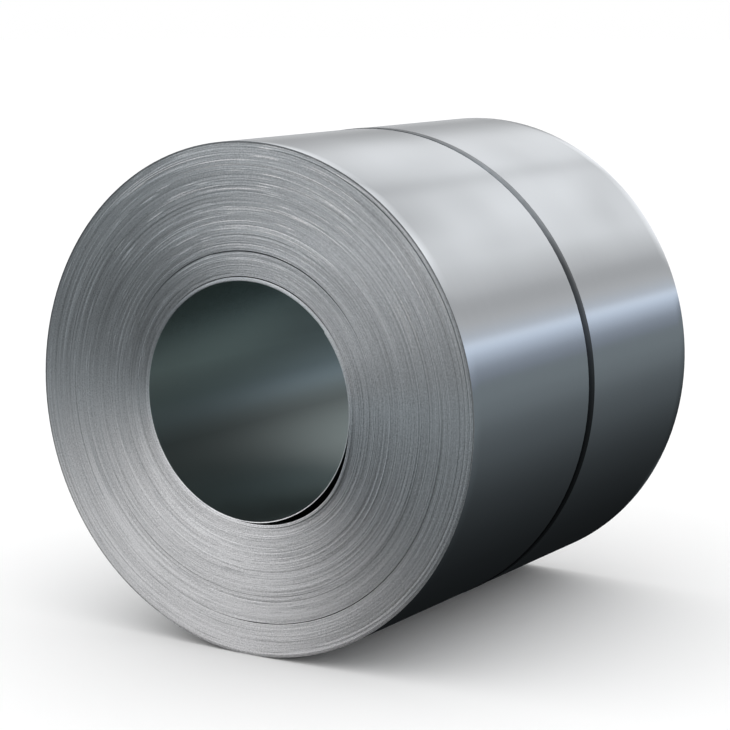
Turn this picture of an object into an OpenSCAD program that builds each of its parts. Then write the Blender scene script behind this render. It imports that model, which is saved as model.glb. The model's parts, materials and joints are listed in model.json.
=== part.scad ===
// Coil of cold-rolled strip steel lying on its side, held by one steel strap.
// Millimetres. +Z is up, the coil's axis lies along Y and its front end faces -Y.
// Directions around the axis are degrees from +X towards +Z, as seen from the front end.

/* [Strip] */
// Thickness of the rolled strip
strip_t = 2; // [1:0.1:4]
// Width of the strip, which is the length of the coil
strip_w = 1000; // [600:10:1600]
// Turns of strip on the coil
turns = 146; // [60:1:220]

/* [Bore] */
// Diameter left by the mandrel that the strip was wound on
bore_d = 508; // [400:1:762]

/* [Wound ends] */
// Turns around the bore that stand proud of the front end
rim_turns = 4; // [2:1:8]
// How far those turns stand proud
rim_proud = 3; // [1:0.1:8]
// Turns in a band that wandered sideways together, on average
band_turns = 4; // [2:1:10]
// Furthest that a band wandered to either side
wander = 1.5; // [0.2:0.1:4]
// Draw of the random bands
wander_seed = 7; // [1:1:99]

/* [Sprung inner turn] */
// Direction of the middle of the gap behind the innermost turn
gap_angle = -50; // [-180:1:180]
// Angle that the gap spans
gap_span = 72; // [30:1:120]
// Widest opening of the gap
gap_depth = 12; // [3:0.5:25]

/* [Strip ends] */
// Direction of the inner end of the strip
head_angle = 40; // [-180:1:180]
// Angle over which the bore closes up again past the inner end
head_fade = 50; // [20:1:80]
// Direction of the outer end of the strip
tail_angle = 250; // [0:1:360]

/* [Strap] */
// Width of the strap
strap_w = 25; // [13:1:40]
// Thickness of the strap
strap_t = 0.8; // [0.5:0.1:1.3]
// Distance of the strap behind the middle of the coil
strap_back = 15; // [-200:1:200]
// Length over which the strap's ends lap
strap_lap = 160; // [120:1:300]
// Length over which the upper end comes down to the coil
strap_ramp = 20; // [10:1:24]

/* [Strap seal] */
// Direction of the seal that joins the strap's ends
seal_angle = 150; // [-180:1:360]
// Length of the seal along the strap
seal_l = 57; // [30:1:80]
// Thickness of the seal's sheet
seal_t = 1; // [0.5:0.1:2]
// Room between the seal's legs and the coil
seal_room = 0.2; // [0.1:0.05:0.5]
// Crimps along each edge of the seal
crimps = 2; // [1:1:3]
// Radius of a crimp's notch
crimp_r = 3.5; // [1:0.1:5]

/* [Hidden] */
$fn = 180;

bore_r = bore_d / 2;
coil_r = bore_r + turns * strip_t;
axis_h = coil_r + strap_t;
strap_r = coil_r + strap_t;
lap_r = strap_r + strap_t;

// Bands of turns: the counts of turns at which one band ends and the next begins
band_draws = [for (d = rands(1, 2 * band_turns - 1, turns, wander_seed)) round(d)];
function band_starts(at, i) = at >= turns ? [turns] : concat(at, band_starts(at + band_draws[i], i + 1));
band_edges = concat(0, band_starts(rim_turns, 0));
bands = len(band_edges) - 1;

// Sideways shift of each band, centred so that both ends reach equally far
shift_draws = rands(-wander, wander, bands, wander_seed + 1);
raw_shifts = [for (i = [0 : bands - 1]) i == 0 ? rim_proud : shift_draws[i]];
middle_shift = (max(raw_shifts) + min(raw_shifts)) / 2;
shifts = [for (s = raw_shifts) s - middle_shift];

// Reach of the tools that cut through the whole coil
cut_over = 20;
cut_l = strip_w + 2 * max(shifts) + cut_over;
cut_r = coil_r + cut_over;

function along(length, r) = length / r * 180 / PI;
function polar(r, angle) = [r * cos(angle), r * sin(angle)];

// Stands the coil's own frame, whose +Z leaves the front end, into the part's frame
module lay_down() {
    translate([0, 0, axis_h]) rotate([90, 0, 0]) children();
}

module through(r) {
    cylinder(r = r, h = cut_l, center = true);
}

// Crescent between the circle of seat_r and a flatter arc that bulges past it by depth, towards +X
module crescent(seat_r, span, depth) {
    chord = seat_r * sin(span / 2);
    rise = seat_r * (1 - cos(span / 2)) + depth;
    arc_r = (chord * chord + rise * rise) / (2 * rise);
    difference() {
        translate([seat_r + depth - arc_r, 0, 0]) through(arc_r);
        cylinder(r = seat_r, h = cut_l + cut_over, center = true);
    }
}

// Half of the space around the axis: the side that angles grow into from +X (+1), or the other (-1)
module half_space(side) {
    translate([0, side * cut_r / 2, 0]) cube([2 * cut_r, cut_r, cut_l], center = true);
}

// Section through the wound strip, from the bore to the outer turn
module wound_section() {
    function turn_r(n) = bore_r + n * strip_t;
    front = [for (i = [0 : bands - 1], n = [band_edges[i], band_edges[i + 1]])
        [turn_r(n), strip_w / 2 + shifts[i]]];
    back = [for (i = [bands - 1 : -1 : 0], n = [band_edges[i + 1], band_edges[i]])
        [turn_r(n), shifts[i] - strip_w / 2]];
    polygon(concat(front, back));
}

// Gap where the innermost turn has come away from the next one
module sprung_gap() {
    rotate(gap_angle) crescent(bore_r + strip_t, gap_span, gap_depth);
}

// Step down onto the second turn past the strip's inner end
module head_step() {
    rotate(head_angle) intersection() {
        crescent(bore_r, 2 * head_fade, strip_t);
        half_space(1);
    }
}

// Step down onto the turn below past the strip's outer end, gone after a quarter turn
module tail_step() {
    rotate(tail_angle) difference() {
        half_space(-1);
        translate([-strip_t, 0, 0]) cylinder(r = coil_r, h = cut_l + cut_over, center = true);
    }
}

module coil() {
    color("silver") lay_down() difference() {
        rotate_extrude() wound_section();
        sprung_gap();
        head_step();
        tail_step();
    }
}

// Outline of the strap seen along the axis: a ring, and its upper end lapped over its start,
// cut square at one end and coming down in a ramp at the other
module strap_outline() {
    lap = along(strap_lap, strap_r);
    ramp = along(strap_ramp, strap_r);
    square_end = polar(2 * lap_r, seal_angle - lap / 2);
    ramp_top = polar(lap_r, seal_angle + lap / 2 - ramp);
    ramp_foot = polar(strap_r, seal_angle + lap / 2);
    overrun = (ramp_top - ramp_foot) / 2;
    difference() {
        union() {
            circle(strap_r);
            intersection() {
                circle(lap_r);
                polygon([[0, 0], square_end, ramp_top + overrun, ramp_foot - overrun]);
            }
        }
        circle(coil_r);
    }
}

module strap() {
    color("dimgray") lay_down() translate([0, 0, -strap_back])
        linear_extrude(strap_w, center = true) strap_outline();
}

// Section through the seal: a flat top over the lapped strap and a leg down each edge
module seal_section() {
    leg_r = coil_r + seal_room;
    translate([leg_r, -strap_w / 2 - seal_t]) difference() {
        square([lap_r + seal_t - leg_r, strap_w + 2 * seal_t]);
        translate([0, seal_t]) square([lap_r - leg_r, strap_w]);
    }
}

module strap_seal() {
    span = along(seal_l, lap_r);
    pitch = span / (crimps + 1);
    color("gray") lay_down() translate([0, 0, -strap_back]) rotate(seal_angle) difference() {
        rotate(-span / 2) rotate_extrude(angle = span) seal_section();
        for (i = [1 : crimps], side = [-1, 1])
            rotate(i * pitch - span / 2)
                translate([coil_r, 0, side * (strap_w / 2 + seal_t)])
                    rotate([0, 90, 0]) cylinder(r = crimp_r, h = cut_over, center = true);
    }
}

coil();
strap();
strap_seal();
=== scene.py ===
import json
import math
import bmesh
import bpy
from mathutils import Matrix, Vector


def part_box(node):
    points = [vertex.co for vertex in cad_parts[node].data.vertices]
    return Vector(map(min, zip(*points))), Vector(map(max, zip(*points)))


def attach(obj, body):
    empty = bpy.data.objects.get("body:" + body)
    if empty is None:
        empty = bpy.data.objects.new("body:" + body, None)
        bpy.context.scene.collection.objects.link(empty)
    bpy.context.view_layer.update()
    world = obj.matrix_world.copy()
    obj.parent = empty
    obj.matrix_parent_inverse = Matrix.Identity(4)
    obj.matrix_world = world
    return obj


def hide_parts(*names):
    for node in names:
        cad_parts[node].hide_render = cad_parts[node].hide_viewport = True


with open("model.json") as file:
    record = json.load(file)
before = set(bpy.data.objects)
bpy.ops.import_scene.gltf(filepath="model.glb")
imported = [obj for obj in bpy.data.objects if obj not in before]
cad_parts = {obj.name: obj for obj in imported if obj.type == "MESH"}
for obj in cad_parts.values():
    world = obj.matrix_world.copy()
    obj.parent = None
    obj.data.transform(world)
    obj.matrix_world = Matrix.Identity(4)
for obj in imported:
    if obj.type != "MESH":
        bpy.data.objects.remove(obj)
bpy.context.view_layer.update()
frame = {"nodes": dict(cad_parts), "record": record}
print("frame loaded:", ", ".join(sorted(frame["nodes"])))

# measures that the pieces share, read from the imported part
mmPerMetre = 1000
boreMount = next(m for m in frame["record"]["mounts"] if m["name"] == "bore")
boreRadius = boreMount["dims"]["r_mm"] / mmPerMetre
stripWidth = boreMount["dims"]["length_mm"] / mmPerMetre
axisHeight = boreMount["pos_m"][2]
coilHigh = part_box("coil")[1]
coilRadius = coilHigh.x
endReach = coilHigh.y - stripWidth / 2  # furthest that a turn stands past the strip's half width
strapLow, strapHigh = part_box("strap")
strapWidth = strapHigh.y - strapLow.y
strapBehind = (strapHigh.y + strapLow.y) / 2


# node tree helpers
def feed(tree, value, socket):
    if isinstance(value, bpy.types.NodeSocket):
        tree.links.new(value, socket)
    else:
        socket.default_value = value


def addNode(tree, kind, inputs=None, **settings):
    node = tree.nodes.new(kind)
    for name, value in settings.items():
        setattr(node, name, value)
    for key, value in (inputs or {}).items():
        feed(tree, value, node.inputs[key])
    return node


def calc(tree, operation, *values):
    node = tree.nodes.new("ShaderNodeMath")
    node.operation = operation
    for value, socket in zip(values, node.inputs):
        feed(tree, value, socket)
    return node.outputs[0]


def vectorCalc(tree, operation, first, second=None, scale=None):
    node = addNode(tree, "ShaderNodeVectorMath", {0: first}, operation=operation)
    if second is not None:
        feed(tree, second, node.inputs[1])
    if scale is not None:
        feed(tree, scale, node.inputs["Scale"])
    return node.outputs["Value" if operation == "DOT_PRODUCT" else "Vector"]


def remap(tree, value, fromLow, fromHigh, toLow, toHigh, shape="LINEAR"):
    node = addNode(tree, "ShaderNodeMapRange", interpolation_type=shape)
    for socket, given in zip(node.inputs, (value, fromLow, fromHigh, toLow, toHigh)):
        feed(tree, given, socket)
    return node.outputs[0]


def mixValue(tree, factor, first, second):
    return remap(tree, factor, 0.0, 1.0, first, second)


def mixColor(tree, factor, first, second):
    # sockets by number, because the node has several of each name
    node = addNode(tree, "ShaderNodeMix", {0: factor, 6: first, 7: second}, data_type="RGBA")
    return node.outputs[2]


def rampOf(tree, value, stops):
    # grey levels by value, through a colour ramp that covers the range of the stops
    low, high = stops[0][0], stops[-1][0]
    ramp = addNode(tree, "ShaderNodeValToRGB", {0: remap(tree, value, low, high, 0.0, 1.0)})
    elements = ramp.color_ramp.elements
    while len(elements) < len(stops):
        elements.new(0.5)
    for element, (at, level) in zip(elements, stops):
        element.position = (at - low) / (high - low)
        element.color = (level, level, level, 1)
    return ramp.outputs[0]


def newTree(name, treeType, inputs, outputs):
    tree = bpy.data.node_groups.new(name, treeType)
    for socketName, socketType in inputs.items():
        tree.interface.new_socket(name=socketName, in_out="INPUT", socket_type="NodeSocket" + socketType)
    for socketName, socketType in outputs.items():
        tree.interface.new_socket(name=socketName, in_out="OUTPUT", socket_type="NodeSocket" + socketType)
    given = tree.nodes.new("NodeGroupInput").outputs
    result = tree.nodes.new("NodeGroupOutput").inputs
    return tree, given, result


def runTree(obj, tree, values):
    # sets the tree's inputs by identifier, and turns the result into the object's own plain mesh
    modifier = obj.modifiers.new(tree.name, "NODES")
    modifier.node_group = tree
    for item in tree.interface.items_tree:
        if item.in_out == "INPUT" and item.name in values:
            modifier[item.identifier] = values[item.name]
    graph = bpy.context.evaluated_depsgraph_get()
    mesh = bpy.data.meshes.new_from_object(
        obj.evaluated_get(graph), preserve_all_data_layers=True, depsgraph=graph)
    obj.modifiers.remove(modifier)
    old = obj.data
    obj.data = mesh
    bpy.data.meshes.remove(old)
    mesh.name = obj.name


def newPiece(name, mesh=None):
    piece = bpy.data.objects.new(name, mesh or bpy.data.meshes.new(name))
    bpy.context.scene.collection.objects.link(piece)
    return piece


def finishPiece(piece, node):
    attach(piece, "root")
    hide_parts(node)


# camera at the photograph's viewing angle
cameraSpec = {
    "azimuth": math.radians(32.15),
    "elevation": math.radians(9.46),
    "distance": 5.119,
    "focalPixels": 2248.4,
    "imageSize": 730,
    "coilPixel": (373.3, 368.7),  # where the middle of the coil falls in the picture
    "sensor": 36.0,
}


def setCamera(spec):
    azimuth, elevation = spec["azimuth"], spec["elevation"]
    back = Vector((math.sin(azimuth) * math.cos(elevation),
                   -math.cos(azimuth) * math.cos(elevation),
                   math.sin(elevation)))
    right = Vector((math.cos(azimuth), math.sin(azimuth), 0))
    up = back.cross(right)
    middle = spec["imageSize"] / 2
    across = (spec["coilPixel"][0] - middle) / spec["focalPixels"]
    upwards = (middle - spec["coilPixel"][1]) / spec["focalPixels"]
    camera = bpy.data.cameras.new("camera")
    camera.sensor_width = spec["sensor"]
    camera.lens = spec["sensor"] * spec["focalPixels"] / spec["imageSize"]
    holder = bpy.data.objects.new("camera", camera)
    holder.location = Vector((0, 0, axisHeight)) - spec["distance"] * (across * right + upwards * up - back)
    holder.rotation_euler = (-back).to_track_quat("-Z", "Y").to_euler()
    bpy.context.scene.collection.objects.link(holder)
    bpy.context.scene.camera = holder


setCamera(cameraSpec)
print("camera set")


# shared by the materials
def newMaterial(name):
    material = bpy.data.materials.new(name)
    material.use_nodes = True
    tree = material.node_tree
    tree.nodes.clear()
    shader = tree.nodes.new("ShaderNodeBsdfPrincipled")
    output = tree.nodes.new("ShaderNodeOutputMaterial")
    tree.links.new(shader.outputs[0], output.inputs["Surface"])
    return material, tree, shader


def aboutAxis(tree):
    # object coordinates moved so that the coil's axis is at zero height
    place = addNode(tree, "ShaderNodeTexCoord").outputs["Object"]
    return addNode(tree, "ShaderNodeMapping", {"Vector": place, "Location": (0, 0, -axisHeight)}).outputs[0]


def outFromAxis(tree, place):
    # unit vector straight out from the coil's axis
    return vectorCalc(tree, "NORMALIZE", vectorCalc(tree, "MULTIPLY", place, (1, 0, 1)))


def acrossGrain(tree, shader, amount):
    # rolled steel spreads a highlight across its grain, which runs around the axis
    quarterTurn = 0.25
    shader.inputs["Anisotropic"].default_value = amount
    shader.inputs["Anisotropic Rotation"].default_value = quarterTurn
    around = addNode(tree, "ShaderNodeTangent", direction_type="RADIAL", axis="Y").outputs[0]
    feed(tree, around, shader.inputs["Tangent"])


def concentricStreaks():
    # tone that changes from lane to lane and slowly around the axis
    tree, given, result = newTree(
        "concentricStreaks", "ShaderNodeTree",
        {"Position": "Vector", "Lane": "Float", "Around": "Float", "Detail": "Float"}, {"Tone": "Float"})
    around = vectorCalc(tree, "SCALE", outFromAxis(tree, given["Position"]), scale=given["Around"])
    lane = addNode(tree, "ShaderNodeCombineXYZ", {"Y": given["Lane"]}).outputs[0]
    noise = addNode(tree, "ShaderNodeTexNoise", {
        "Vector": vectorCalc(tree, "ADD", around, lane), "Scale": 1.0, "Detail": given["Detail"]})
    feed(tree, noise.outputs[0], result["Tone"])
    return tree


streaksGroup = concentricStreaks()


# the wound strip
coilSpec = {
    "stripThickness": 0.0019,
    "wholeTurns": 145,
    "stepsPerTurn": 150,
    "headAngle": math.radians(40),  # inner end of the strip
    "tailAngle": math.radians(250),  # outer end of the strip
    "edgeSlant": 0.00075,
    "rimTurns": 4.0,  # turns that stand proud at the front end
    "rimEase": 0.3,  # part of a turn over which the strip moves back
    "wander": 0.0011,
    "wanderRate": 0.83,  # changes of drift in a turn
    "wanderSeed": 3.0,
    "boreTurns": 1.6,  # turns whose inner face shows in the bore
    "cornerAngle": math.radians(40),
    # places where a turn has come away from the one inside it: the turn it starts at, the direction of the
    # widest opening and how far the gap runs to either side of it, in degrees, and its width there
    "gaps": [
        {"turn": 0, "angle": -46, "ahead": 44, "behind": 58, "depth": 0.0135},
        {"turn": 4, "angle": 95, "ahead": 120, "behind": 100, "depth": 0.0018},
        {"turn": 30, "angle": 95, "ahead": 110, "behind": 90, "depth": 0.0018},
        {"turn": 108, "angle": -62, "ahead": 75, "behind": 75, "depth": 0.0024},
        {"turn": 139, "angle": 40, "ahead": 70, "behind": 60, "depth": 0.0012},
    ],
    # the rolled face; heights are from the coil's axis
    "sheet": {
        "color": (0.60, 0.615, 0.63, 1),
        "roughness": (0.12, 0.16),
        "anisotropy": 0.3,
        "grainScale": (3.0, 260.0, 3.0),
        "grainTones": (0.98, 1.02),
        "paintedSheen": 0.6,  # painted sheen, light and dark, high on the coil
        "sheenHeights": (0.2, 0.36),
        "sheenTilt": (math.radians(8), 0, 0),
        "sheenScale": (2.5, 3.0, 6.0),
        "paintedBandTones": ((-0.5, 0.83), (-0.2, 0.96), (0.0, 1.06), (0.3, 1.0)),  # painted light and shade along the width, in a band high on the coil
        "paintedBandStart": (0.34, 0.41),
        "paintedBandEnd": (0.46, 0.515),
        "rollWidth": 0.03,
        "rollDepth": 0.0018,
        # painted highlight where the sheet rolls in at its ends, high on the coil
        "paintedEndShine": 1.4,
        "boreStainAndShade": (0.20, 0.235, 0.23, 1),  # the bore is stained darker than the outside, and painted darker as shade too
        # tones by height in the bore: partly stain, partly painted reflection and shade, lighter towards the
        # top
        "boreStainAndReflectionTones": ((-0.26, 0.95), (-0.2, 1.0), (-0.12, 0.75), (-0.03, 1.6), (0.04, 2.9), (0.26, 2.2)),
        "boreRoughness": 0.38,
    },
    # the slit edges that make the ends
    "edges": {
        "color": (0.70, 0.69, 0.69),
        "roughness": (0.46, 0.38),
        "anisotropy": 0.7,
        "grainScale": 420.0,
        "grainShows": (0.2, 0.8),
        "grainDepth": 0.36,
        # sets of streaks: lanes in a turn, the first lane, changes around the axis and the noise that shows
        "fine": {"perTurn": 0.7, "start": 0.0, "around": 0.9, "detail": 0.5, "shows": (0.2, 0.8)},
        # dark arcs of painted groove shade
        "paintedGrooveShade": {"perTurn": 0.6, "start": 600.0, "around": 0.8, "detail": 0.0, "shows": (0.68, 0.80)},
        "leaning": {"perTurn": 0.8, "start": 300.0, "around": 1.3, "detail": 0.0, "shows": (0.58, 0.78)},
        "flecks": {"perTurn": 0.9, "start": 900.0, "around": 5.0, "detail": 0.0, "shows": (0.66, 0.78)},
        "fineTones": (0.78, 1.22),
        "grooveShadeDepth": 0.3,
        "lean": 0.6,
        "leanTowards": (0.35, 0.0, 0.94),  # the side of the end where the edges lean most
        "leanReach": (0.1, 0.4),
        "leanShares": (0.3, 1.0),
        "rimTones": (0.2, 0.55),
        "shadedTurns": (2.0, 1.5),  # before the outer end of the strip
        "shade": 0.45,
    },
}


def woundTurns(spec):
    # the strip winds outwards clockwise, so the head's direction less the tail's gives the part turn
    part = (spec["headAngle"] - spec["tailAngle"]) / math.tau % 1
    return spec["wholeTurns"] + part


coilTurns = woundTurns(coilSpec)
turnPitch = (coilRadius - boreRadius - coilSpec["stripThickness"]) / coilTurns


def gapTree():
    # how far a turn is pushed out at one sprung gap
    tree, given, result = newTree(
        "sprungGap", "GeometryNodeTree",
        {"Turn": "Float", "Direction": "Float", "Turns": "Float", "First Turn": "Float", "Angle": "Float",
         "Ahead": "Float", "Behind": "Float", "Depth": "Float"},
        {"Push": "Float"})
    away = calc(tree, "WRAP", calc(tree, "SUBTRACT", given["Direction"], given["Angle"]), math.pi, -math.pi)
    isAhead = calc(tree, "GREATER_THAN", away, 0.0)
    reach = mixValue(tree, isAhead, given["Behind"], given["Ahead"])
    share = calc(tree, "MINIMUM", calc(tree, "DIVIDE", calc(tree, "ABSOLUTE", away), reach), 1.0)
    swell = calc(tree, "MULTIPLY_ADD", calc(tree, "COSINE", calc(tree, "MULTIPLY", share, math.pi)), 0.5, 0.5)
    easing = remap(tree, given["Turn"], given["First Turn"], given["Turns"], 1.0, 0.0)
    outside = calc(tree, "GREATER_THAN", given["Turn"], given["First Turn"])
    push = calc(tree, "MULTIPLY", calc(tree, "MULTIPLY", swell, easing), outside)
    feed(tree, calc(tree, "MULTIPLY", push, given["Depth"]), result["Push"])
    return tree


def stripTree(spec):
    tree, given, result = newTree(
        "woundStrip", "GeometryNodeTree",
        {"Bore Radius": "Float", "Pitch": "Float", "Turns": "Float", "Steps per Turn": "Int",
         "Head Angle": "Float", "Strip Thickness": "Float", "Strip Width": "Float", "Edge Slant": "Float",
         "Rim Turns": "Float", "Rim Ease": "Float", "End Reach": "Float", "Wander": "Float",
         "Wander Rate": "Float", "Wander Seed": "Float", "Bore Turns": "Float", "Corner Angle": "Float",
         "Axis Height": "Float", "Face Steel": "Material", "Edge Steel": "Material"},
        {"Coil": "Geometry"})
    startRadius = calc(tree, "MULTIPLY_ADD", given["Strip Thickness"], 0.5, given["Bore Radius"])
    spiral = addNode(tree, "GeometryNodeCurveSpiral", {
        "Resolution": given["Steps per Turn"],
        "Rotations": given["Turns"],
        "Start Radius": startRadius,
        "End Radius": calc(tree, "MULTIPLY_ADD", given["Pitch"], given["Turns"], startRadius),
        "Height": 0.0,
        "Reverse": False,
    }).outputs[0]
    turnedBy = addNode(tree, "ShaderNodeCombineXYZ", {"Z": given["Head Angle"]}).outputs[0]
    spiral = addNode(tree, "GeometryNodeTransform", {"Geometry": spiral, "Rotation": turnedBy}).outputs[0]
    index = addNode(tree, "GeometryNodeInputIndex").outputs[0]
    turn = calc(tree, "DIVIDE", index, given["Steps per Turn"])
    spiral = addNode(tree, "GeometryNodeStoreNamedAttribute",
                     {"Geometry": spiral, "Name": "turn", "Value": turn},
                     data_type="FLOAT", domain="POINT").outputs[0]

    place = addNode(tree, "GeometryNodeInputPosition").outputs[0]
    flat = addNode(tree, "ShaderNodeSeparateXYZ", {0: place}).outputs
    direction = calc(tree, "ARCTAN2", flat["Y"], flat["X"])
    gapGroup = gapTree()
    push = 0.0
    for gap in spec["gaps"]:
        angle = math.radians(gap["angle"])
        # the gap opens half a turn away from its widest place, so that the strip has no kink
        opens = (spec["headAngle"] - angle - math.pi) / math.tau % 1 + gap["turn"]
        one = addNode(tree, "GeometryNodeGroup", {
            "Turn": turn, "Direction": direction, "Turns": given["Turns"], "First Turn": opens,
            "Angle": angle, "Ahead": math.radians(gap["ahead"]), "Behind": math.radians(gap["behind"]),
            "Depth": gap["depth"]}, node_tree=gapGroup)
        push = calc(tree, "ADD", push, one.outputs[0])
    outwards = vectorCalc(tree, "SCALE", vectorCalc(tree, "NORMALIZE", place), scale=push)
    spiral = addNode(tree, "GeometryNodeSetPosition", {"Geometry": spiral, "Offset": outwards}).outputs[0]
    spiral = addNode(tree, "GeometryNodeSetCurveNormal", {"Curve": spiral}, mode="Z_UP").outputs[0]

    halfThick = calc(tree, "MULTIPLY", given["Strip Thickness"], 0.5)
    halfWidth = calc(tree, "MULTIPLY", given["Strip Width"], 0.5)
    inner = calc(tree, "SUBTRACT", halfWidth, given["Edge Slant"])
    section = addNode(tree, "GeometryNodeCurvePrimitiveQuadrilateral", mode="POINTS")
    corners = ((-1, halfWidth, -1), (1, inner, -1), (1, inner, 1), (-1, halfWidth, 1))
    for number, (side, reach, end) in enumerate(corners, 1):
        corner = addNode(tree, "ShaderNodeCombineXYZ", {
            "X": calc(tree, "MULTIPLY", halfThick, float(side)),
            "Y": calc(tree, "MULTIPLY", reach, float(end)),
        }).outputs[0]
        feed(tree, corner, section.inputs["Point %d" % number])
    strip = addNode(tree, "GeometryNodeCurveToMesh", {
        "Curve": spiral, "Profile Curve": section.outputs[0], "Fill Caps": True}).outputs[0]

    # sideways wander of the strip as it was wound, with the first turns standing proud at the front end
    stored = addNode(tree, "GeometryNodeInputNamedAttribute", {"Name": "turn"}, data_type="FLOAT").outputs[0]
    seeded = calc(tree, "ADD", stored, given["Wander Seed"])
    quick = addNode(tree, "ShaderNodeTexNoise", {"W": seeded, "Scale": given["Wander Rate"], "Detail": 1.0},
                    noise_dimensions="1D").outputs[0]
    drift = calc(tree, "MULTIPLY", calc(tree, "MULTIPLY_ADD", quick, 2.0, -1.0), given["Wander"])
    rim = remap(tree, stored, calc(tree, "SUBTRACT", given["Rim Turns"], given["Rim Ease"]),
                calc(tree, "ADD", given["Rim Turns"], given["Rim Ease"]), 1.0, 0.0, "SMOOTHSTEP")
    shift = calc(tree, "ADD", calc(tree, "MULTIPLY", rim, given["End Reach"]),
                 calc(tree, "MULTIPLY", calc(tree, "SUBTRACT", 1.0, rim), drift))
    least = calc(tree, "MULTIPLY", given["End Reach"], -1.0)
    shift = calc(tree, "MAXIMUM", calc(tree, "MINIMUM", shift, given["End Reach"]), least)
    sideways = addNode(tree, "ShaderNodeCombineXYZ", {"Z": shift}).outputs[0]
    strip = addNode(tree, "GeometryNodeSetPosition", {"Geometry": strip, "Offset": sideways}).outputs[0]

    # finish of the faces: the slit edges look along the axis, the bore's side looks towards it
    edgeFacing, boreFacing = 0.7, -0.5
    normal = addNode(tree, "GeometryNodeInputNormal").outputs[0]
    endwards = addNode(tree, "ShaderNodeSeparateXYZ", {0: normal}).outputs["Z"]
    isEdge = calc(tree, "GREATER_THAN", calc(tree, "ABSOLUTE", endwards), edgeFacing)
    strip = addNode(tree, "GeometryNodeSetMaterial", {
        "Geometry": strip, "Material": given["Face Steel"]}).outputs[0]
    strip = addNode(tree, "GeometryNodeSetMaterial", {
        "Geometry": strip, "Selection": isEdge, "Material": given["Edge Steel"]}).outputs[0]
    facing = vectorCalc(tree, "DOT_PRODUCT", normal, vectorCalc(tree, "NORMALIZE", place))
    isBore = calc(tree, "MULTIPLY", calc(tree, "LESS_THAN", facing, boreFacing),
                  calc(tree, "LESS_THAN", stored, given["Bore Turns"]))
    strip = addNode(tree, "GeometryNodeStoreNamedAttribute",
                    {"Geometry": strip, "Name": "boreSide", "Value": isBore},
                    data_type="FLOAT", domain="FACE").outputs[0]
    lift = addNode(tree, "ShaderNodeCombineXYZ", {"Z": given["Axis Height"]}).outputs[0]
    strip = addNode(tree, "GeometryNodeTransform", {
        "Geometry": strip, "Translation": lift, "Rotation": (math.pi / 2, 0, 0)}).outputs[0]
    strip = addNode(tree, "GeometryNodeSetShadeSmooth", {"Geometry": strip, "Shade Smooth": True},
                    domain="FACE").outputs[0]
    bend = addNode(tree, "GeometryNodeInputMeshEdgeAngle").outputs["Unsigned Angle"]
    isCorner = addNode(tree, "FunctionNodeCompare", {0: bend, 1: given["Corner Angle"]},
                       data_type="FLOAT", operation="GREATER_THAN").outputs[0]
    strip = addNode(tree, "GeometryNodeSetShadeSmooth", {
        "Geometry": strip, "Selection": isCorner, "Shade Smooth": False}, domain="EDGE").outputs[0]
    strip = addNode(tree, "GeometryNodeRealizeInstances", {"Geometry": strip}).outputs[0]
    feed(tree, strip, result["Coil"])
    return tree


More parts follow.
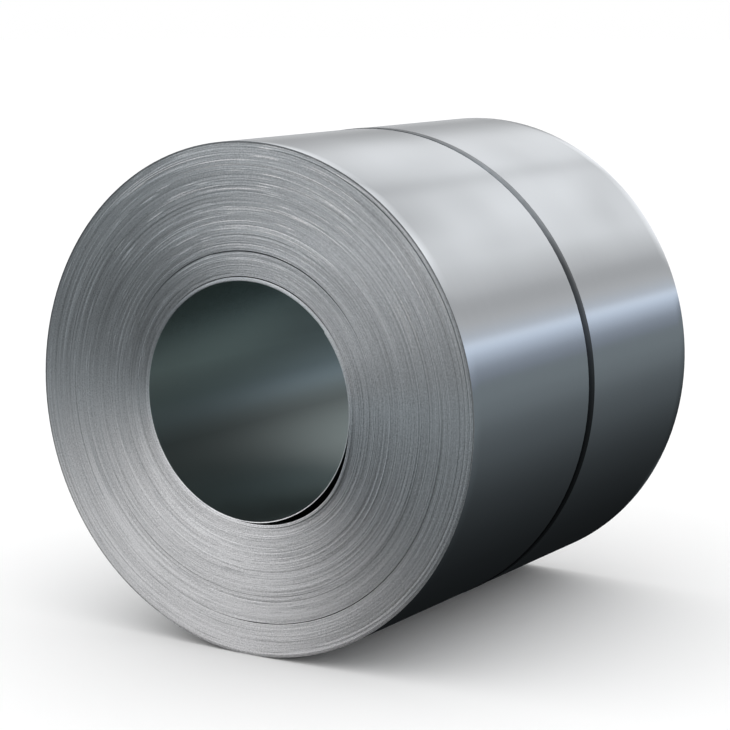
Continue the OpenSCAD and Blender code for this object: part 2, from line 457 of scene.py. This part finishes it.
def rolledSteel(spec):
    material, tree, shader = newMaterial("rolledSteel")
    place = aboutAxis(tree)
    parts = addNode(tree, "ShaderNodeSeparateXYZ", {0: place}).outputs
    bore = addNode(tree, "ShaderNodeAttribute", attribute_name="boreSide").outputs["Fac"]
    # rolling grain: fine across the width, long around the coil
    grainAt = addNode(tree, "ShaderNodeMapping", {"Vector": place, "Scale": spec["grainScale"]}).outputs[0]
    grain = addNode(tree, "ShaderNodeTexNoise", {"Vector": grainAt, "Scale": 1.0, "Detail": 3.0}).outputs[0]
    # painted sheen: soft light and dark patches high on the coil, and there a band of painted light and
    # shade, darker towards the front
    sheenAt = addNode(tree, "ShaderNodeMapping", {
        "Vector": place, "Rotation": spec["sheenTilt"], "Scale": spec["sheenScale"]}).outputs[0]
    paintedSheen = addNode(tree, "ShaderNodeTexNoise", {"Vector": sheenAt, "Scale": 1.0, "Detail": 1.0}).outputs[0]
    upper = remap(tree, parts["Z"], *spec["sheenHeights"], 0.0, 1.0, "SMOOTHSTEP")
    paintedLightPatches = calc(tree, "MULTIPLY", calc(tree, "SUBTRACT", paintedSheen, 0.5), spec["paintedSheen"])
    soft = calc(tree, "MULTIPLY_ADD", paintedLightPatches, upper, 1.0)
    paintedBandAt = calc(tree, "MULTIPLY", remap(tree, parts["Z"], *spec["paintedBandStart"], 0.0, 1.0, "SMOOTHSTEP"),
                  remap(tree, parts["Z"], *spec["paintedBandEnd"], 1.0, 0.0, "SMOOTHSTEP"))
    paintedBandTone = mixValue(tree, paintedBandAt, 1.0, rampOf(tree, parts["Y"], spec["paintedBandTones"]))
    soft = calc(tree, "MULTIPLY", soft, paintedBandTone)
    tone = calc(tree, "MULTIPLY", soft, mixValue(tree, grain, *spec["grainTones"]))
    # the sheet rolls in a little at its ends, and has a painted highlight there
    halfWidth = stripWidth / 2
    aside = calc(tree, "ABSOLUTE", parts["Y"])
    endwards = remap(tree, aside, halfWidth - spec["rollWidth"], halfWidth, 0.0, 1.0)
    paintedEndTone = mixValue(tree, calc(tree, "MULTIPLY", endwards, upper), 1.0, spec["paintedEndShine"])
    tone = calc(tree, "MULTIPLY", tone, paintedEndTone)
    # in the bore: its stain with painted shade and reflection, by height
    tone = mixValue(tree, bore, tone, rampOf(tree, parts["Z"], spec["boreStainAndReflectionTones"]))
    color = mixColor(tree, bore, spec["color"], spec["boreStainAndShade"])
    feed(tree, vectorCalc(tree, "SCALE", color, scale=tone), shader.inputs["Base Color"])
    rough = mixValue(tree, grain, *spec["roughness"])
    feed(tree, mixValue(tree, bore, rough, spec["boreRoughness"]), shader.inputs["Roughness"])
    roll = calc(tree, "MULTIPLY", calc(tree, "MULTIPLY", endwards, endwards), -spec["rollDepth"])
    relief = calc(tree, "MULTIPLY", roll, calc(tree, "SUBTRACT", 1.0, bore))
    bump = addNode(tree, "ShaderNodeBump", {"Strength": 1.0, "Distance": 1.0, "Height": relief})
    feed(tree, bump.outputs[0], shader.inputs["Normal"])
    shader.inputs["Metallic"].default_value = 1.0
    acrossGrain(tree, shader, spec["anisotropy"])
    return material


def slitEdges(spec, rimTurns, rimEase):
    material, tree, shader = newMaterial("slitEdges")
    place = aboutAxis(tree)
    turn = addNode(tree, "ShaderNodeAttribute", attribute_name="turn").outputs["Fac"]

    def streaks(kind, toLow, toHigh):
        lanes = spec[kind]
        tone = addNode(tree, "ShaderNodeGroup", {
            "Position": place, "Lane": calc(tree, "MULTIPLY_ADD", turn, lanes["perTurn"], lanes["start"]),
            "Around": lanes["around"], "Detail": lanes["detail"]}, node_tree=streaksGroup).outputs["Tone"]
        return remap(tree, tone, *lanes["shows"], toLow, toHigh)

    upper = vectorCalc(tree, "DOT_PRODUCT", place, spec["leanTowards"])
    upper = remap(tree, upper, *spec["leanReach"], 0.0, 1.0, "SMOOTHSTEP")
    grain = addNode(tree, "ShaderNodeTexNoise", {
        "Vector": place, "Scale": spec["grainScale"], "Detail": 1.0}).outputs[0]
    tone = calc(tree, "ADD", streaks("fine", *spec["fineTones"]),
                remap(tree, grain, *spec["grainShows"], -spec["grainDepth"], spec["grainDepth"]))
    # painted shade: dark thin arcs where grooves between the turns would be shaded
    tone = calc(tree, "SUBTRACT", tone, streaks("paintedGrooveShade", 0.0, spec["grooveShadeDepth"]))
    # the first turns stand proud and catch more light, the last ones are in their own shade
    rim = remap(tree, turn, rimTurns, rimTurns + rimEase, 1.0, 0.0)
    rimTone = mixValue(tree, upper, *spec["rimTones"])
    tone = calc(tree, "ADD", tone, calc(tree, "MULTIPLY", rim, rimTone))
    shadeStart, shadeEnd = (coilTurns - turns for turns in spec["shadedTurns"])
    tone = calc(tree, "SUBTRACT", tone, remap(tree, turn, shadeStart, shadeEnd, 0.0, spec["shade"]))
    feed(tree, vectorCalc(tree, "SCALE", spec["color"], scale=tone), shader.inputs["Base Color"])
    feed(tree, remap(tree, grain, *spec["grainShows"], *spec["roughness"]), shader.inputs["Roughness"])
    shader.inputs["Metallic"].default_value = 1.0
    # some turns' edges lean outwards more than the rest
    lean = calc(tree, "MAXIMUM", streaks("leaning", 0.0, spec["lean"]), streaks("flecks", 0.0, spec["lean"]))
    lean = calc(tree, "MULTIPLY", lean, mixValue(tree, upper, *spec["leanShares"]))
    facing = addNode(tree, "ShaderNodeNewGeometry").outputs["Normal"]
    leaning = vectorCalc(tree, "ADD", facing, vectorCalc(tree, "SCALE", outFromAxis(tree, place), scale=lean))
    feed(tree, vectorCalc(tree, "NORMALIZE", leaning), shader.inputs["Normal"])
    acrossGrain(tree, shader, spec["anisotropy"])
    return material


def windCoil(spec):
    piece = newPiece("wound_coil")
    runTree(piece, stripTree(spec), {
        "Bore Radius": boreRadius, "Pitch": turnPitch, "Turns": coilTurns,
        "Steps per Turn": spec["stepsPerTurn"], "Head Angle": spec["headAngle"],
        "Strip Thickness": spec["stripThickness"], "Strip Width": stripWidth, "Edge Slant": spec["edgeSlant"],
        "Rim Turns": spec["rimTurns"], "Rim Ease": spec["rimEase"], "End Reach": endReach,
        "Wander": spec["wander"], "Wander Rate": spec["wanderRate"], "Wander Seed": spec["wanderSeed"],
        "Bore Turns": spec["boreTurns"], "Corner Angle": spec["cornerAngle"], "Axis Height": axisHeight,
        "Face Steel": rolledSteel(spec["sheet"]),
        "Edge Steel": slitEdges(spec["edges"], spec["rimTurns"], spec["rimEase"])})
    finishPiece(piece, "coil")
    return piece


coil = windCoil(coilSpec)
print("coil wound:", len(coil.data.polygons), "faces")


# the steel strap around the middle of the coil, and its seal
strapSpec = {
    "thickness": 0.0008,
    "rounding": 0.0002,
    "roundingSteps": 2,
    "step": math.radians(1.0),
    "lap": 0.160,
    "ramp": 0.020,  # length over which the upper end climbs onto the lower one
    "bridge": math.radians(4.9),  # the strap leaves the coil here to reach the corner of the outer end
    "sharpAngle": math.radians(50),
    "color": (0.062, 0.067, 0.071),
    "roughness": (0.36, 0.28),
    # painted reflection and shade: how many times paler it is by height from the coil's axis
    "paintedReflectionTones": ((-0.14, 0.2), (0.0, 0.42), (0.14, 0.85), (0.27, 1.0), (0.36, 3.2), (0.47, 4.1), (0.54, 1.4)),
    "markSize": 0.035,
    "markTones": (0.8, 1.2),
}
sealSpec = {
    "angle": math.radians(150),
    "length": 0.057,
    "thickness": 0.0009,
    "sideRoom": 0.0003,
    "fold": 0.0012,
    "crimps": (-0.0142, 0.0142),
    "crimpRadius": 0.0035,
    "steps": 96,
    "flatSteps": 4,
    "foldSteps": 4,
    "weld": 0.00002,
    "sharpAngle": math.radians(35),
}


def outerRadius(angle):
    # radius of the coil's outermost surface, which drops by one turn at the strip's outer end
    past = (angle - coilSpec["tailAngle"]) % math.tau
    radius = coilRadius - turnPitch * past / math.tau
    before = math.tau - past
    if before < strapSpec["bridge"]:
        radius += turnPitch * (1 - before / strapSpec["bridge"])
    return radius


def strapPath(spec):
    lapTurn = spec["lap"] / coilRadius
    rampTurn = spec["ramp"] / coilRadius
    start = sealSpec["angle"] + lapTurn / 2 - rampTurn
    total = math.tau + lapTurn - rampTurn
    count = round(total / spec["step"])
    points = []
    for number in range(count + 1):
        gone = total * number / count
        angle = start - gone
        climb = min(max((gone - (math.tau - rampTurn)) / rampTurn, 0), 1)
        lift = spec["thickness"] * climb * climb * (3 - 2 * climb)
        radius = outerRadius(angle) + spec["thickness"] / 2 + lift
        points.append((radius * math.cos(angle), radius * math.sin(angle), 0))
    return points


def bandTree():
    tree, given, result = newTree(
        "sweptBand", "GeometryNodeTree",
        {"Path": "Geometry", "Width": "Float", "Thickness": "Float", "Rounding": "Float",
         "Rounding Steps": "Int", "Behind": "Float", "Axis Height": "Float", "Steel": "Material"},
        {"Band": "Geometry"})
    path = addNode(tree, "GeometryNodeMeshToCurve", {"Mesh": given["Path"]}).outputs[0]
    path = addNode(tree, "GeometryNodeSetCurveNormal", {"Curve": path}, mode="Z_UP").outputs[0]
    section = addNode(tree, "GeometryNodeCurvePrimitiveQuadrilateral",
                      {"Width": given["Thickness"], "Height": given["Width"]}, mode="RECTANGLE").outputs[0]
    section = addNode(tree, "GeometryNodeFilletCurve", {
        "Curve": section, "Count": given["Rounding Steps"], "Radius": given["Rounding"],
    }, mode="POLY").outputs[0]
    band = addNode(tree, "GeometryNodeCurveToMesh", {
        "Curve": path, "Profile Curve": section, "Fill Caps": True}).outputs[0]
    place = addNode(tree, "ShaderNodeCombineXYZ", {
        "Y": given["Behind"], "Z": given["Axis Height"]}).outputs[0]
    band = addNode(tree, "GeometryNodeTransform", {
        "Geometry": band, "Translation": place, "Rotation": (math.pi / 2, 0, 0)}).outputs[0]
    band = addNode(tree, "GeometryNodeRealizeInstances", {"Geometry": band}).outputs[0]
    band = addNode(tree, "GeometryNodeSetMaterial", {"Geometry": band, "Material": given["Steel"]}).outputs[0]
    feed(tree, band, result["Band"])
    return tree


def bluedSteel(spec):
    material, tree, shader = newMaterial("bluedSteel")
    place = aboutAxis(tree)
    # soft cloudy patches, as oil and handling leave on bare steel
    clouds = addNode(tree, "ShaderNodeTexNoise", {
        "Vector": place, "Scale": 1 / spec["markSize"], "Detail": 4.0, "Distortion": 0.6}).outputs[0]
    marks = remap(tree, clouds, 0.0, 1.0, 0.0, 1.0, "SMOOTHSTEP")
    height = addNode(tree, "ShaderNodeSeparateXYZ", {0: place}).outputs["Z"]
    # painted reflection: paler high on the coil, darker low down
    paintedStrapReflection = rampOf(tree, height, spec["paintedReflectionTones"])
    tone = calc(tree, "MULTIPLY", mixValue(tree, marks, *spec["markTones"]), paintedStrapReflection)
    feed(tree, vectorCalc(tree, "SCALE", spec["color"], scale=tone), shader.inputs["Base Color"])
    feed(tree, mixValue(tree, marks, *spec["roughness"]), shader.inputs["Roughness"])
    shader.inputs["Metallic"].default_value = 1.0
    return material


def layStrap(spec, steel):
    points = strapPath(spec)
    mesh = bpy.data.meshes.new("strap_path")
    mesh.from_pydata(points, [(n, n + 1) for n in range(len(points) - 1)], [])
    piece = newPiece("steel_strap", mesh)
    runTree(piece, bandTree(), {
        "Width": strapWidth, "Thickness": spec["thickness"], "Rounding": spec["rounding"],
        "Rounding Steps": spec["roundingSteps"], "Behind": strapBehind, "Axis Height": axisHeight,
        "Steel": steel})
    piece.data.set_sharp_from_angle(angle=spec["sharpAngle"])
    finishPiece(piece, "strap")


def sealSection(spec, notch):
    # one half of the section, from the middle out and down the leg, as distance from the middle and height;
    # in a crimp's notch it ends early, and the points left over close up on its last one
    plateTop = 2 * strapSpec["thickness"] + spec["sideRoom"] + spec["thickness"]
    half = strapWidth / 2 + spec["sideRoom"] + spec["thickness"]
    flat = half - spec["fold"]
    points = [(flat * n / spec["flatSteps"], plateTop) for n in range(spec["flatSteps"] + 1)]
    for n in range(1, spec["foldSteps"] + 1):
        turn = math.pi / 2 * n / spec["foldSteps"]
        points.append((flat + spec["fold"] * math.sin(turn), plateTop - spec["fold"] * (1 - math.cos(turn))))
    points.append((half, spec["sideRoom"]))
    if notch > 0:
        limit = half - notch
        points = [(min(away, limit), plateTop if away >= limit else high) for away, high in points]
    return points


def notchDepth(spec, along):
    # how far a crimp cuts into the seal at a distance along it
    for crimp in spec["crimps"]:
        share = abs(along - crimp) / spec["crimpRadius"]
        if share < 1:
            return spec["crimpRadius"] * math.sqrt(1 - share * share) + spec["fold"] / 2
    return 0


def makeSeal(spec, steel):
    shape = bmesh.new()
    base = outerRadius(spec["angle"])
    rows = []
    for number in range(spec["steps"] + 1):
        along = spec["length"] * (number / spec["steps"] - 0.5)
        half = sealSection(spec, notchDepth(spec, along))
        line = [(-away, high) for away, high in reversed(half[1:])] + half
        angle = spec["angle"] - along / base
        row = []
        for away, high in line:
            radius = base + high
            row.append(shape.verts.new((radius * math.cos(angle), strapBehind + away,
                                        axisHeight + radius * math.sin(angle))))
        rows.append(row)
    for near, far in zip(rows, rows[1:]):
        for n in range(len(near) - 1):
            shape.faces.new((near[n], far[n], far[n + 1], near[n + 1]))
    bmesh.ops.remove_doubles(shape, verts=shape.verts, dist=spec["weld"])
    bmesh.ops.dissolve_degenerate(shape, edges=shape.edges, dist=spec["weld"])
    bmesh.ops.recalc_face_normals(shape, faces=shape.faces)
    mesh = bpy.data.meshes.new("strap_seal_shell")
    shape.to_mesh(mesh)
    shape.free()
    mesh.materials.append(steel)
    piece = newPiece("crimped_seal", mesh)
    thick = piece.modifiers.new("thickness", "SOLIDIFY")
    thick.thickness = spec["thickness"]
    thick.offset = -1.0
    graph = bpy.context.evaluated_depsgraph_get()
    piece.data = bpy.data.meshes.new_from_object(piece.evaluated_get(graph), depsgraph=graph)
    piece.modifiers.remove(thick)
    bpy.data.meshes.remove(mesh)
    piece.data.shade_smooth()
    piece.data.set_sharp_from_angle(angle=spec["sharpAngle"])
    finishPiece(piece, "strap_seal")


strapSteel = bluedSteel(strapSpec)
layStrap(strapSpec, strapSteel)
makeSeal(sealSpec, strapSteel)
print("strap and seal made")


# the floor and the light
stageSpec = {
    "floorRadius": 60.0,
    "floorSegments": 64,
    "floorColor": (0.96, 0.96, 0.96, 1),
    "ambient": 1.1,  # level of the light from all around that reaches the floor
    # what the metal mirrors: behind the coil the studio's level by the direction around the coil's axis
    # in degrees, and in front of it by height
    "backLevels": ((0, 0.29), (5, 0.39), (11, 0.72), (14.5, 0.98), (16.5, 1.05), (19, 0.70), (32, 0.54),
                   (36.5, 0.56), (41, 0.69), (50, 0.87), (57, 1.02), (70, 1.02), (96, 0.97), (102.5, 0.76),
                   (109, 0.97), (128, 1.0), (137, 0.93), (150, 0.60), (162, 0.44), (180, 0.65)),
    "frontLevels": ((0.0, 0.42), (0.15, 0.56), (0.35, 0.87), (0.46, 1.27), (0.6, 1.0), (0.8, 0.85)),
    "frontToBack": (-0.2, 0.2),  # headings along Y between which the one passes into the other
    "leftLight": 1.2,  # how many times lighter it is on the left in front
    "leftReach": (-0.25, -0.7),
    "tint": (0.985, 1.0, 1.02, 1),
    "lowTint": (0.86, 0.98, 1.16, 1),
    "tintAngles": (14, 26),
    # and the floor's painted level by the distance from the coil's axis, seen from above: painted shade near
    # the coil, lighter further out
    "floorLevels": ((0.0, 0.006), (0.28, 0.0105), (0.39, 0.015), (0.53, 0.026), (0.74, 0.05), (1.12, 0.108),
                    (2.26, 0.21), (4.0, 0.25)),
    "floorTint": (0.88, 1.02, 1.10, 1),
    "frontFloor": 2.5,  # how many times lighter the floor in front of the coil is
    "frontReach": (-1.0, -0.2),
    "behindLevel": 0.15,  # floor behind the coil, which shows in its bore
    "behindReach": (0.95, 1.3),
    "behindWidth": (0.25, 0.5),
}
overheadLamp = {"place": (-0.3, -0.95, 3.2), "size": (6.0, 5.0), "power": 16.0}


def paleFloor(spec):
    mesh = bpy.data.meshes.new("floor")
    shape = bmesh.new()
    bmesh.ops.create_circle(shape, cap_ends=True, radius=spec["floorRadius"], segments=spec["floorSegments"])
    shape.to_mesh(mesh)
    shape.free()
    material, tree, shader = newMaterial("paleFloor")
    shader.inputs["Base Color"].default_value = spec["floorColor"]
    shader.inputs["Roughness"].default_value = 1.0
    shader.inputs["Specular IOR Level"].default_value = 0.0
    # the metal mirrors a darker floor than the camera sees: in reflections the floor glows at a painted level
    # instead of being lit
    place = addNode(tree, "ShaderNodeTexCoord").outputs["Object"]
    parts = addNode(tree, "ShaderNodeSeparateXYZ", {0: place}).outputs
    aside = calc(tree, "ABSOLUTE", parts["X"])
    level = calc(tree, "MULTIPLY", rampOf(tree, aside, spec["floorLevels"]),
                 remap(tree, parts["Y"], *spec["frontReach"], spec["frontFloor"], 1.0))
    behind = calc(tree, "MULTIPLY", remap(tree, parts["Y"], *spec["behindReach"], 0.0, spec["behindLevel"]),
                  remap(tree, aside, *spec["behindWidth"], 1.0, 0.0))
    dark = addNode(tree, "ShaderNodeEmission", {
        "Color": spec["floorTint"], "Strength": calc(tree, "ADD", level, behind)})
    mirrored = addNode(tree, "ShaderNodeLightPath").outputs["Is Glossy Ray"]
    mix = addNode(tree, "ShaderNodeMixShader", {0: mirrored, 1: shader.outputs[0], 2: dark.outputs[0]})
    output = next(node for node in tree.nodes if node.type == "OUTPUT_MATERIAL")
    tree.links.new(mix.outputs[0], output.inputs["Surface"])
    mesh.materials.append(material)
    newPiece("floor", mesh)


def studioWorld(spec):
    world = bpy.data.worlds.new("studio")
    bpy.context.scene.world = world
    world.use_nodes = True
    tree = world.node_tree
    tree.nodes.clear()
    path = addNode(tree, "ShaderNodeLightPath").outputs
    seen = calc(tree, "ADD", path["Is Camera Ray"], path["Is Transmission Ray"])
    outlook = addNode(tree, "ShaderNodeTexCoord").outputs["Generated"]
    heading = addNode(tree, "ShaderNodeSeparateXYZ", {0: outlook}).outputs
    around = calc(tree, "ARCTAN2", heading["Z"], heading["X"])
    low, high = (math.radians(angle) for angle in spec["tintAngles"])
    tint = mixColor(tree, remap(tree, around, low, high, 0.0, 1.0), spec["lowTint"], spec["tint"])
    backLevel = rampOf(tree, around, [(math.radians(angle), level) for angle, level in spec["backLevels"]])
    leftwards = remap(tree, heading["X"], *spec["leftReach"], 1.0, spec["leftLight"])
    frontLevel = calc(tree, "MULTIPLY", rampOf(tree, heading["Z"], spec["frontLevels"]), leftwards)
    mirrored = mixColor(tree, remap(tree, heading["Y"], *spec["frontToBack"], 0.0, 1.0),
                        vectorCalc(tree, "SCALE", spec["tint"][:3], scale=frontLevel),
                        vectorCalc(tree, "SCALE", tint, scale=backLevel))
    level = mixValue(tree, seen, spec["ambient"], 1.0)
    plain = addNode(tree, "ShaderNodeCombineXYZ", {"X": level, "Y": level, "Z": level}).outputs[0]
    color = mixColor(tree, path["Is Glossy Ray"], plain, mirrored)
    background = addNode(tree, "ShaderNodeBackground", {"Color": color})
    output = tree.nodes.new("ShaderNodeOutputWorld")
    tree.links.new(background.outputs[0], output.inputs["Surface"])


def addLamp(name, spec):
    light = bpy.data.lights.new(name, "AREA")
    light.shape = "RECTANGLE"
    light.size, light.size_y = spec["size"]
    light.energy = spec["power"]
    lamp = bpy.data.objects.new(name, light)
    lamp.location = spec["place"]
    lamp.rotation_euler = (Vector((0, 0, axisHeight)) - lamp.location).to_track_quat("-Z", "Y").to_euler()
    bpy.context.scene.collection.objects.link(lamp)


paleFloor(stageSpec)
studioWorld(stageSpec)
addLamp("overhead", overheadLamp)
bpy.context.scene.view_settings.view_transform = "Standard"
print("stage lit")
